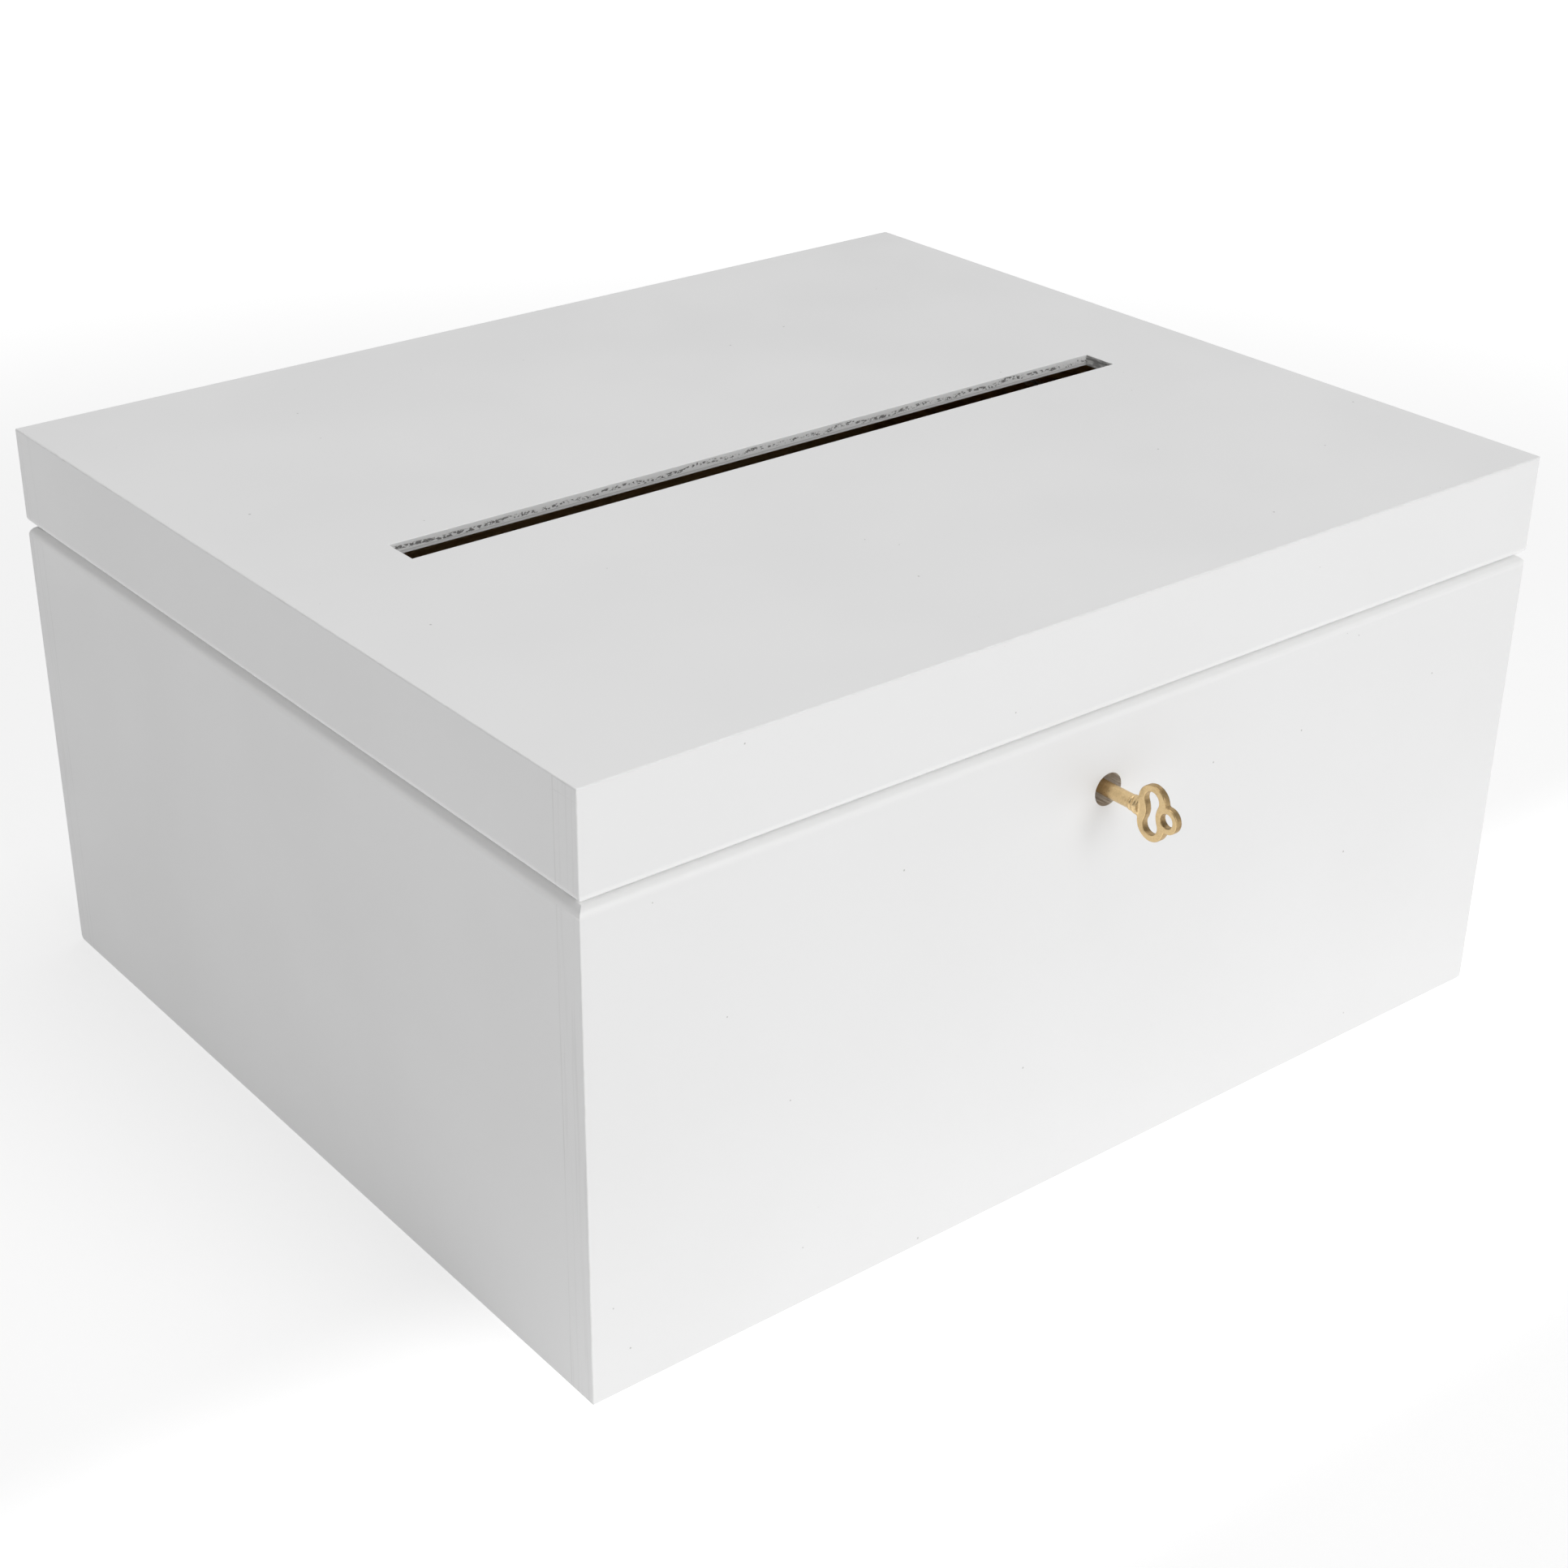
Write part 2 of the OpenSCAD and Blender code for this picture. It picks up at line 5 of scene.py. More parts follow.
import bmesh
import bpy
import numpy as np
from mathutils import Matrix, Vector

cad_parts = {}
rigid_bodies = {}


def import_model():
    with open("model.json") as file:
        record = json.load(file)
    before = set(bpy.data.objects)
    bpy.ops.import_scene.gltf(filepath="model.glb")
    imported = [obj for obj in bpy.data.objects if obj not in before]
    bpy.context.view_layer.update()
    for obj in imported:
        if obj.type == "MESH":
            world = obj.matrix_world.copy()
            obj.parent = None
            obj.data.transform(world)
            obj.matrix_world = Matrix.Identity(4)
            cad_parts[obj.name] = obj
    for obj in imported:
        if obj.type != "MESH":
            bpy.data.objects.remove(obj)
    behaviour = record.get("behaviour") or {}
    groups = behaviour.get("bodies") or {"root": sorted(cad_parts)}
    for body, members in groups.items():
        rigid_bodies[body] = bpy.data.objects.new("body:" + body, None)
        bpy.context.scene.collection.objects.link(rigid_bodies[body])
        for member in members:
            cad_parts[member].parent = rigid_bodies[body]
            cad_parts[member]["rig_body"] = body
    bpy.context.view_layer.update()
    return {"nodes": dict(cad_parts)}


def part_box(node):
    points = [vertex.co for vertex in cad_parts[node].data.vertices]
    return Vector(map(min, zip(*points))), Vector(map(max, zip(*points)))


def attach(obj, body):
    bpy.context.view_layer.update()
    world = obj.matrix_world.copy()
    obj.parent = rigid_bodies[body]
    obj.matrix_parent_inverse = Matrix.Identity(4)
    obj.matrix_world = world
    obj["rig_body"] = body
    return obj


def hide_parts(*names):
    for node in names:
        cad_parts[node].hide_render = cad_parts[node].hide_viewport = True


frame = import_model()

MM = 0.001

# ---------------------------------------------------------------- places from the frame
FRONT_LOW, FRONT_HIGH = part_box("base_front_board")
LEFT_LOW, LEFT_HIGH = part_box("base_left_board")
PANEL_LOW, PANEL_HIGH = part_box("lid_top_panel")
FLOOR_LOW, FLOOR_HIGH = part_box("base_bottom_panel")
KEY_LOW, KEY_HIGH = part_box("key")
HALF_W = -LEFT_LOW.x
HALF_D = -FRONT_LOW.y
INSIDE_W = -LEFT_HIGH.x                 # half the width between the side boards
INSIDE_D = -FRONT_HIGH.y                # half the depth between the front and back boards
BOARD = HALF_D - INSIDE_D               # thickness of the boards
FLOOR_Z = FLOOR_HIGH.z
CEILING_Z = PANEL_LOW.z
TOP_Z = PANEL_HIGH.z
SEAM_Z = (FRONT_HIGH.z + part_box("lid_front_rail")[0].z) / 2
KEY_REACH = FRONT_LOW.y - KEY_LOW.y     # the bow's tip, out from the front of the box
KEY_TIP = KEY_HIGH.y - FRONT_LOW.y      # the shank's tip, in from the front of the box
TOUCH = 0.05 * MM                       # how far a test reaches past the surface that it is for
KEYHOLE_R = 4.1 * MM
SLOT = (0.5 * MM, -4.4 * MM)            # middle of the card slot
SLOT_HALF = (110.5 * MM, 5 * MM)


def key_axis_height():
    """The height of the key's axis: the lock's drill pin stands on it."""
    low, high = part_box("lock_drill_pin")
    return (low.z + high.z) / 2


KEY_Z = key_axis_height()


# ---------------------------------------------------------------- node helpers
class Tree:
    """Builds a material's nodes: each method adds one node or a few and returns the output socket."""

    def __init__(self, name):
        self.material = bpy.data.materials.new(name)
        self.material.use_nodes = True
        self.tree = self.material.node_tree
        self.shader = self.tree.nodes["Principled BSDF"]
        place = self.add("ShaderNodeTexCoord")
        self.where = place.outputs["Object"]
        self.facing = place.outputs["Normal"]
        self.x, self.y, self.z = (self.axis(name) for name in "XYZ")

    def add(self, kind, **values):
        node = self.tree.nodes.new(kind)
        for key, value in values.items():
            setattr(node, key, value)
        return node

    def put(self, socket, value):
        if isinstance(value, bpy.types.NodeSocket):
            self.tree.links.new(value, socket)
        else:
            socket.default_value = value

    def set(self, **values):
        for key, value in values.items():
            self.put(self.shader.inputs[key.replace("_", " ")], value)

    def scaled(self, scale, turn=(0, 0, 0), vector=None):
        node = self.add("ShaderNodeMapping")
        self.put(node.inputs["Vector"], vector or self.where)
        node.inputs["Scale"].default_value = scale
        node.inputs["Rotation"].default_value = turn
        return node.outputs["Vector"]

    def noise(self, scale, detail, rough=0.5, vector=None):
        node = self.add("ShaderNodeTexNoise")
        self.put(node.inputs["Vector"], vector or self.where)
        node.inputs["Scale"].default_value = scale
        node.inputs["Detail"].default_value = detail
        node.inputs["Roughness"].default_value = rough
        return node.outputs["Fac"]

    def cells(self, scale):
        """Distance to the nearest scattered point, and that point's own random number."""
        node = self.add("ShaderNodeTexVoronoi")
        self.put(node.inputs["Vector"], self.where)
        node.inputs["Scale"].default_value = scale
        split = self.add("ShaderNodeSeparateColor")
        self.put(split.inputs[0], node.outputs["Color"])
        return node.outputs["Distance"], split.outputs[0]

    def math(self, operation, a, b=0.0, c=0.0):
        node = self.add("ShaderNodeMath", operation=operation)
        for socket, value in zip(node.inputs, (a, b, c)):
            self.put(socket, value)
        return node.outputs[0]

    def product(self, *values):
        result = values[0]
        for value in values[1:]:
            result = self.math("MULTIPLY", result, value)
        return result

    def total(self, *values):
        result = values[0]
        for value in values[1:]:
            result = self.math("ADD", result, value)
        return result

    def ramp(self, value, low, high, out_low=0.0, out_high=1.0):
        node = self.add("ShaderNodeMapRange", interpolation_type="SMOOTHSTEP")
        for name, number in (
            ("Value", value), ("From Min", low), ("From Max", high),
            ("To Min", out_low), ("To Max", out_high),
        ):
            self.put(node.inputs[name], number)
        return node.outputs["Result"]

    def above(self, value, limit, soft=0.02 * MM):
        """1 where value is over limit, and 0 where it is under."""
        return self.ramp(self.math("SUBTRACT", value, limit), -soft, soft)

    def below(self, value, limit, soft=0.02 * MM):
        """1 where value is under limit, and 0 where it is over."""
        return self.ramp(self.math("SUBTRACT", value, limit), -soft, soft, 1.0, 0.0)

    def apart(self, value, place):
        """How far value is from place."""
        return self.math("ABSOLUTE", self.math("SUBTRACT", value, place))

    def line(self, value, place, half, soft):
        """1 where value is within half of place, falling to 0 over soft."""
        return self.ramp(self.apart(value, place), half, half + soft, 1.0, 0.0)

    def mix(self, fac, a, b):
        node = self.add("ShaderNodeMix", data_type="RGBA")
        self.put(node.inputs["Factor"], fac)
        for socket, value in ((node.inputs[6], a), (node.inputs[7], b)):
            self.put(socket, value if isinstance(value, bpy.types.NodeSocket) else (*value, 1.0))
        return node.outputs[2]

    def lerp(self, fac, a, b):
        """The number a where fac is 0 and b where it is 1."""
        node = self.add("ShaderNodeMix", data_type="FLOAT")
        for socket, value in zip(node.inputs[:1] + node.inputs[2:4], (fac, a, b)):
            self.put(socket, value)
        return node.outputs[0]

    def axis(self, name, vector=None):
        node = self.add("ShaderNodeSeparateXYZ")
        self.put(node.inputs[0], vector or self.where)
        return node.outputs[name]

    def bump(self, height):
        """Bumps of a height given in millimetres."""
        node = self.add("ShaderNodeBump")
        self.put(node.inputs["Height"], height)
        node.inputs["Distance"].default_value = MM
        node.inputs["Strength"].default_value = 1.0
        self.put(self.shader.inputs["Normal"], node.outputs["Normal"])


# ---------------------------------------------------------------- camera, stage and lights
# The camera, as fitted to the box's corners
CAMERA_PLACE = (-0.3978, -0.4971, 0.3859)
CAMERA_TILT = 61.342
CAMERA_TURN = -37.51
SENSOR = 36
LENS = 61.76
SHIFT = (0.0428, 0.0332)


def make_camera():
    camera = bpy.data.objects.new("camera", bpy.data.cameras.new("camera"))
    bpy.context.scene.collection.objects.link(camera)
    camera.location = CAMERA_PLACE
    camera.rotation_euler = (math.radians(CAMERA_TILT), 0, math.radians(CAMERA_TURN))
    camera.data.sensor_width = SENSOR
    camera.data.lens = LENS
    camera.data.shift_x, camera.data.shift_y = SHIFT
    camera.data.clip_start = 0.01
    bpy.context.scene.camera = camera


# The stage
FLOOR_SIZE = 8
FLOOR_BELOW = 0.2 * MM                   # how far under the box the paper lies
FLOOR_WHITE = (0.32, 0.32, 0.32, 1)
FLOOR_GLOW = (0.66, 0.97)                # near the box, and far out
GLOW_REACH = (0.4, 1.0)                  # how far from the middle the floor's glow goes from one to the other
FRONT_STRIP_Y = -0.15                    # middle of the brighter strip before the front
FRONT_FADE = (0.02, 0.09)                # how far from that middle the strip starts and ends fading
FRONT_GLOW = 0.33                        # what the light table adds in that strip
WALL_GLOW = 0.02
CEILING_GLOW = 0.28
CEILING_FROM = (0.2, 0.5)                # where walls pass into ceiling: the sine of the height angle

# Each light's name, place, aim, diameter and power
LIGHTS = [
    ("key_light", (0.16, -1.6, 0.72), (0, 0, 0.08), 1.2, 12.3),
    ("side_light", (-1.5, 0.1, 1.25), (0, 0, 0.08), 1.0, 2.2),
    ("overhead", (0.15, 0.1, 1.7), (0, 0, 0.1), 1.2, 14.5),
]


def make_floor():
    """A sheet of white paper on a light table, bright enough that only a faint contact shadow is left."""
    bpy.ops.mesh.primitive_plane_add(size=FLOOR_SIZE, location=(0, 0, -FLOOR_BELOW))
    floor = bpy.context.object
    floor.name = "floor"
    t = Tree("floor_paper")
    reach = t.math("SQRT", t.total(t.math("POWER", t.x, 2), t.math("POWER", t.y, 2)))
    strip = t.ramp(t.apart(t.y, FRONT_STRIP_Y), *FRONT_FADE, FRONT_GLOW, 0.0)
    glow = t.total(t.ramp(reach, *GLOW_REACH, *FLOOR_GLOW), strip)
    t.set(
        Base_Color=FLOOR_WHITE, Roughness=0.9, Specular_IOR_Level=0.0,
        Emission_Color=(1, 1, 1, 1), Emission_Strength=glow,
    )
    floor.data.materials.append(t.material)


def soft_light(name, place, aim, size, power):
    data = bpy.data.lights.new(name, "AREA")
    data.shape = "DISK"
    data.size = size
    data.energy = power
    light = bpy.data.objects.new(name, data)
    light.location = place
    light.rotation_euler = (Vector(aim) - Vector(place)).to_track_quat("-Z", "Y").to_euler()
    bpy.context.scene.collection.objects.link(light)


def make_world():
    """A studio with dim walls under a wide soft ceiling."""
    world = bpy.data.worlds.new("studio")
    world.use_nodes = True
    tree = world.node_tree
    place = tree.nodes.new("ShaderNodeTexCoord")
    split = tree.nodes.new("ShaderNodeSeparateXYZ")
    fade = tree.nodes.new("ShaderNodeMapRange")
    fade.interpolation_type = "SMOOTHSTEP"
    limits = (*CEILING_FROM, WALL_GLOW, CEILING_GLOW)
    for name, value in zip(("From Min", "From Max", "To Min", "To Max"), limits):
        fade.inputs[name].default_value = value
    tree.links.new(place.outputs["Generated"], split.inputs[0])
    tree.links.new(split.outputs["Z"], fade.inputs["Value"])
    glow = tree.nodes["Background"]
    glow.inputs["Color"].default_value = (1, 1, 1, 1)
    tree.links.new(fade.outputs["Result"], glow.inputs["Strength"])
    bpy.context.scene.world = world


def make_lights():
    make_world()
    bpy.context.scene.view_settings.view_transform = "Standard"
    for light in LIGHTS:
        soft_light(*light)


def finish_piece(name, mesh, node, smooth_angle=45):
    """Puts a mesh in the scene as the piece that stands for a CAD node."""
    for face in mesh.polygons:
        face.use_smooth = True
    mesh.set_sharp_from_angle(angle=math.radians(smooth_angle))
    piece = bpy.data.objects.new(name, mesh)
    bpy.context.scene.collection.objects.link(piece)
    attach(piece, frame["nodes"][node]["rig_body"])
    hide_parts(node)
    return piece


def touches(point, node):
    """Whether a point lies in or on a CAD node's box."""
    low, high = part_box(node)
    return all(a - TOUCH < at < b + TOUCH for at, a, b in zip(point, low, high))


WELD = 0.001 * MM
FLAT_ANGLE = math.radians(0.3)          # faces that meet at less than this are one flat face
SHARP_ANGLE = math.radians(40)          # edges that turn by more than this are rounded


def eased(node, width, glued=()):
    """A copy of a CAD node with its sharp edges rounded by width, shown in the node's place.

    Edges that meet another board of the same glued frame stay as they are.
    """
    others = [other for other in glued if other != node]
    bm = bmesh.new()
    bm.from_mesh(frame["nodes"][node].data)
    bmesh.ops.remove_doubles(bm, verts=bm.verts, dist=WELD)
    bmesh.ops.dissolve_limit(bm, angle_limit=FLAT_ANGLE, verts=bm.verts, edges=bm.edges)
    edges = [
        edge for edge in bm.edges
        if len(edge.link_faces) == 2 and edge.calc_face_angle() > SHARP_ANGLE
        and not any(touches((edge.verts[0].co + edge.verts[1].co) / 2, other) for other in others)
    ]
    bmesh.ops.bevel(
        bm, geom=edges, offset=width, offset_type="OFFSET", segments=2, profile=0.5,
        affect="EDGES", clamp_overlap=True,
    )
    low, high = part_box(node)
    for vert in bm.verts:
        vert.co = [min(max(at, a), b) for at, a, b in zip(vert.co, low, high)]
    mesh = bpy.data.meshes.new(node + "_eased")
    bm.to_mesh(mesh)
    bm.free()
    if "custom_normal" in mesh.attributes:
        mesh.attributes.remove(mesh.attributes["custom_normal"])
    mesh.materials.clear()
    piece = finish_piece(node + "_eased", mesh, node)
    shading = piece.modifiers.new("shading", "WEIGHTED_NORMAL")
    shading.keep_sharp = True
    return piece


def settled(points, distance, reach=0.02, rounds=4):
    """Moves points onto the surface where distance is 0."""
    steps = reach * np.eye(3)
    for _ in range(rounds):
        slope = np.stack(
            [distance(*(points + s).T) - distance(*(points - s).T) for s in steps], axis=1
        ) / (2 * reach)
        steepness = np.maximum((slope ** 2).sum(axis=1), 0.25)
        points = points - (distance(*points.T) / steepness)[:, None] * slope
    return points


def surface(distance, low, high, step):
    """Points and quads of the surface where distance is 0, by surface nets on a regular grid."""
    axes = [np.arange(a, b + step, step) for a, b in zip(low, high)]
    field = distance(*np.meshgrid(*axes, indexing="ij"))
    cells = tuple(n - 1 for n in field.shape)
    total = np.zeros((*cells, 3))
    count = np.zeros(cells)

    def corner(offset):
        return field[tuple(slice(o, o + n) for o, n in zip(offset, cells))]

    for axis in range(3):
        along = np.eye(3, dtype=int)[axis]
        first, second = (np.eye(3, dtype=int)[(axis + k) % 3] for k in (1, 2))
        for i in (0, 1):
            for j in (0, 1):
                start = i * first + j * second
                a, b = corner(start), corner(start + along)
                crosses = (a < 0) != (b < 0)
                share = np.where(crosses, a / np.where(crosses, a - b, 1), 0)
                point = start + share[..., None] * along
                total += np.where(crosses[..., None], point, 0)
                count += crosses
    used = count > 0
    index = np.full(cells, -1)
    index[used] = np.arange(used.sum())
    points = np.array(low) + step * (np.argwhere(used) + total[used] / count[used][:, None])

    quads = []
    inside = field < 0
    for axis in range(3):
        along, first, second = (np.eye(3, dtype=int)[(axis + k) % 3] for k in (0, 1, 2))
        ends = np.argwhere(np.diff(inside, axis=axis))
        ring = [index[tuple((ends - shift).T)] for shift in (0 * first, first, first + second, second)]
        quad = np.stack(ring, axis=1)
        outward = inside[tuple(ends.T)]
        quads.append(np.where(outward[:, None], quad, quad[:, ::-1]))
    return settled(points, distance), np.concatenate(quads)


# ---------------------------------------------------------------- distances, in millimetres
def joined(a, b, fillet):
    """The union of two distances, with a soft fillet where they meet."""
    share = np.clip(0.5 + 0.5 * (b - a) / fillet, 0, 1)
    return b + (a - b) * share - fillet * share * (1 - share)


def cut(a, b, fillet):
    """The first distance without the second, its edge softened."""
    return -joined(-a, b, fillet)


def crossed(a, b, edge):
    """The intersection of two distances, its edge rounded."""
    a, b = a + edge, b + edge
    return np.minimum(np.maximum(a, b), 0) + np.hypot(np.maximum(a, 0), np.maximum(b, 0)) - edge


# The key: s is the reach out from the front of the box, h the height over the key's axis
BOW_T = 1.8
BOW_EDGE = 0.28                         # how round the cast bow's edges are
SHANK_R = 1.75
TIP_R = 3.15
TIP_HOLE_R = 1.75
TIP_S = KEY_REACH / MM - TIP_R
LOBE_S = TIP_S - 4.7
LOBE_H = 2.75
LOBE_R = 4.15
EYE_S = LOBE_S - 0.1
EYE_H = 3.15
EYE_R = 2.15
EYE_MID = 0.05                          # how far past the eye's discs the middle of its bar lies
EYE_BAR = 1.8                           # half the width of that bar
TIP_WALL = 1.65
BULGE_S = LOBE_S - 3.8
BULGE_R = 2.2
NECK_S = LOBE_S - 5.4
NECK_L = 5
NECK_HALF = 2.0
SHANK_TOP_S = NECK_S + 1.4
SHANK_END_S = -KEY_TIP / MM
BORE_END_S = -4.6
BORE_R = 1.0
BIT_S = (-10.4, -8.1)
BIT_LOW = -3.7
BIT_HALF_T = 0.6
NOTCH_S = -9.3
NOTCH_HALF = 0.3
NOTCH_H = 0.9

# Each collar's height over the shank, its start and end from the neck, its edge and its fillet
COLLARS = [(0.28, 0.1, 0.8, 0.2, 0.3), (0.18, -1.0, -0.5, 0.15, 0.25)]


def bow_plan(s, h):
    """Distance to the bow's outline, seen from the side: two large lobes, a small ring, and an eye."""
    def disc(at_s, at_h, r):
        return np.hypot(s - at_s, h - at_h) - r

    plan = disc(TIP_S, 0, TIP_R)
    eye = crossed(np.abs(s - EYE_S - EYE_MID) - EYE_BAR, np.abs(h) - EYE_H, 0.3)
    for side in (-1, 1):
        plan = joined(plan, disc(LOBE_S, side * LOBE_H, LOBE_R), 0.5)
        eye = joined(eye, disc(EYE_S, side * EYE_H, EYE_R), 0.3)
    neck = crossed(np.abs(s - NECK_S - NECK_L / 2) - NECK_L / 2, np.abs(h) - NECK_HALF, 0.3)
    plan = joined(plan, neck, 0.8)
    eye = cut(eye, disc(TIP_S, 0, TIP_HOLE_R + TIP_WALL), 0.5)
    eye = cut(eye, disc(BULGE_S, 0, BULGE_R), 0.9)
    plan = cut(plan, eye, 0.2)
    return cut(plan, disc(TIP_S, 0, TIP_HOLE_R), 0.1)


def key_distance(x, s, h):
    """Distance to the whole key: cast bow, round shank with a collar, hollow end and bit."""
    radius = np.hypot(x, h)

    def rod(r, start, end, edge):
        return crossed(radius - r, np.abs(s - (start + end) / 2) - (end - start) / 2, edge)

    key = crossed(bow_plan(s, h), np.abs(x) - BOW_T / 2, BOW_EDGE)
    key = joined(key, rod(SHANK_R, SHANK_END_S, SHANK_TOP_S, 0.2), 0.9)
    for proud, start, end, edge, fillet in COLLARS:
        key = joined(key, rod(SHANK_R + proud, NECK_S + start, NECK_S + end, edge), fillet)
    half = (BIT_S[1] - BIT_S[0]) / 2
    bit = crossed(np.abs(x) - BIT_HALF_T, np.abs(s - BIT_S[0] - half) - half, 0.12)
    bit = crossed(bit, np.abs(h - BIT_LOW / 2) + BIT_LOW / 2, 0.12)
    notch = np.maximum(np.abs(s - NOTCH_S) - NOTCH_HALF, h - BIT_LOW - NOTCH_H)
    key = joined(key, cut(bit, notch, 0.08), 0.15)
    return cut(key, rod(BORE_R, SHANK_END_S - 1, BORE_END_S, 0.1), 0.12)


KEY_STEP = 0.13                         # the grid that the key's surface is taken from
KEY_ROOM = 0.4                          # room that the grid leaves past the key's two ends
KEY_HALF_X = 2.3
KEY_HALF_H = 7.3


def make_key():
    low = (-KEY_HALF_X, SHANK_END_S - KEY_ROOM, -KEY_HALF_H)
    high = (KEY_HALF_X, KEY_REACH / MM + KEY_ROOM, KEY_HALF_H)
    points, quads = surface(key_distance, low, high, KEY_STEP)
    place = np.stack([points[:, 0], FRONT_LOW.y / MM - points[:, 1], points[:, 2] + KEY_Z / MM], axis=1)
    mesh = bpy.data.meshes.new("key_cast")
    mesh.from_pydata((place * MM).tolist(), [], quads[:, ::-1].tolist())
    return finish_piece("key_cast", mesh, "key", 60)


# ---------------------------------------------------------------- wood and paint
WHITE = (0.80, 0.80, 0.80)
# painted light: the slot's walls are painted paler than the box's paint, standing in for the key light on the
# wall that faces the front
SLOT_WALL_PAINTED_LIGHT = (0.92, 0.92, 0.915)
SEAM_BAND_PAINTED_LIGHT = (0.93, 0.93, 0.925)       # paler than the paint: painted light on the rounded band under the seam, where the lid's edge shades it
THIN_PAINT = (0.70, 0.695, 0.68)
SPECK = (0.30, 0.29, 0.28)
# the keyhole wall's raw wood, partly painted light: far paler than raw wood, to lift the shade deep in the
# hole and under the key
RAW_WOOD_AND_PAINTED_LIGHT = (0.90, 0.87, 0.83)
RAW_DARK_WOOD_AND_PAINTED_LIGHT = (0.52, 0.47, 0.43)
CHIP = (0.07, 0.065, 0.06)
PALE_WOOD = (0.70, 0.54, 0.35)
LATE_WOOD = (0.52, 0.34, 0.17)
PORE = (0.30, 0.19, 0.10)
SLOT_END_DARK = (0.42, 0.415, 0.41)
SLOT_END_PALE = (0.86, 0.855, 0.84)
FUZZ = (0.70, 0.68, 0.65)
RING_WIDTH = 3.4 * MM
RING_SWAY = 26 * MM                     # how far the rings wander along the grain
PITH = {"X": (0.09, -0.03), "Y": (0.06, -0.05)}
EASE_WOOD = 0.15 * MM                   # how much the boards' edges are rounded
JOINT_LINE = (0.05 * MM, 0.12 * MM)     # half the width of a joint's line, and its soft edge
THIN_EDGE = (0.35 * MM, 0.8 * MM)       # how close to an edge the paint is thin, and where that has faded
THIN_WANDER = 0.9 * MM                  # how far noise shifts that
SEAM_LIGHT_REACH = (1.5 * MM, 3.2 * MM)           # how far under the seam the painted light reaches, and where it has faded
LAP = (0.5 * MM, 2.2 * MM)              # the least and the most that the paint laps over a rim
CHIP_DEPTH = (0.7 * MM, 1.8 * MM)       # how far under the top the slot's band of chips wanders
CHIP_BAND = (0.25 * MM, 0.65 * MM)      # half that band's width, and where it has faded
SLOT_LINE = 2.3 * MM                    # depth of the fine line along the slot's walls
STRETCH = {"X": (0.07, 1, 1), "Y": (1, 0.07, 1)}


def stretched(t, along, times=1.0):
    """Coordinates drawn out along the grain."""
    return t.scaled(tuple(times * s if s < 1 else 1 for s in STRETCH[along]))


def edge_closeness(t):
    """Distance to the nearest outer edge: of the distances to the outer faces, the second smallest."""
    side = t.math("SUBTRACT", HALF_W, t.math("ABSOLUTE", t.x))
    end = t.math("SUBTRACT", HALF_D, t.math("ABSOLUTE", t.y))
    level = t.math("MINIMUM", t.z, t.math("SUBTRACT", TOP_Z, t.z))
    level = t.math("MINIMUM", level, t.apart(t.z, SEAM_Z))
    smaller = t.math("MINIMUM", side, end)
    larger = t.math("MAXIMUM", side, end)
    return t.math("MAXIMUM", smaller, t.math("MINIMUM", larger, level))


def joint_lines(t, wander):
    """1 along the board joints that show through the paint, less in the streaks of the end grain."""
    end_face = t.above(t.math("ABSOLUTE", t.x), HALF_W - TOUCH)
    from_end = t.math("SUBTRACT", HALF_D, t.math("ABSOLUTE", t.y))
    joint = t.line(from_end, BOARD, *JOINT_LINE)
    end_grain = t.noise(1100, 2, vector=t.scaled((0.02, 1, 0.02)))
    streaks = t.product(t.below(from_end, BOARD), t.ramp(end_grain, 0.52, 0.62))
    upright = t.product(t.math("MAXIMUM", joint, t.math("MULTIPLY", streaks, 0.5)), end_face)
    level = t.product(t.line(t.z, CEILING_Z, *JOINT_LINE), t.below(from_end, BOARD), end_face, 0.4)
    panel = t.math(
        "MAXIMUM",
        t.line(t.math("ABSOLUTE", t.x), -FLOOR_LOW.x, *JOINT_LINE),
        t.line(t.math("ABSOLUTE", t.y), -FLOOR_LOW.y, *JOINT_LINE),
    )
    panel = t.product(panel, t.below(t.z, 0.5 * MM))
    return t.product(wander, t.math("MAXIMUM", t.math("MAXIMUM", upright, level), panel))


def specks(t):
    """1 in scattered tiny pits and specks of the paint, all well under a millimetre."""
    found = 0.0
    for scale, share, size in ((95, 0.78, 0.04), (230, 0.90, 0.07)):
        near, chance = t.cells(scale)
        reach = t.ramp(chance, share, 1.0, 0.0, size)
        spot = t.ramp(t.math("SUBTRACT", near, reach), -0.012, 0.004, 1.0, 0.0)
        found = t.math("MAXIMUM", found, t.product(spot, t.above(chance, share, 0.001)))
    return found


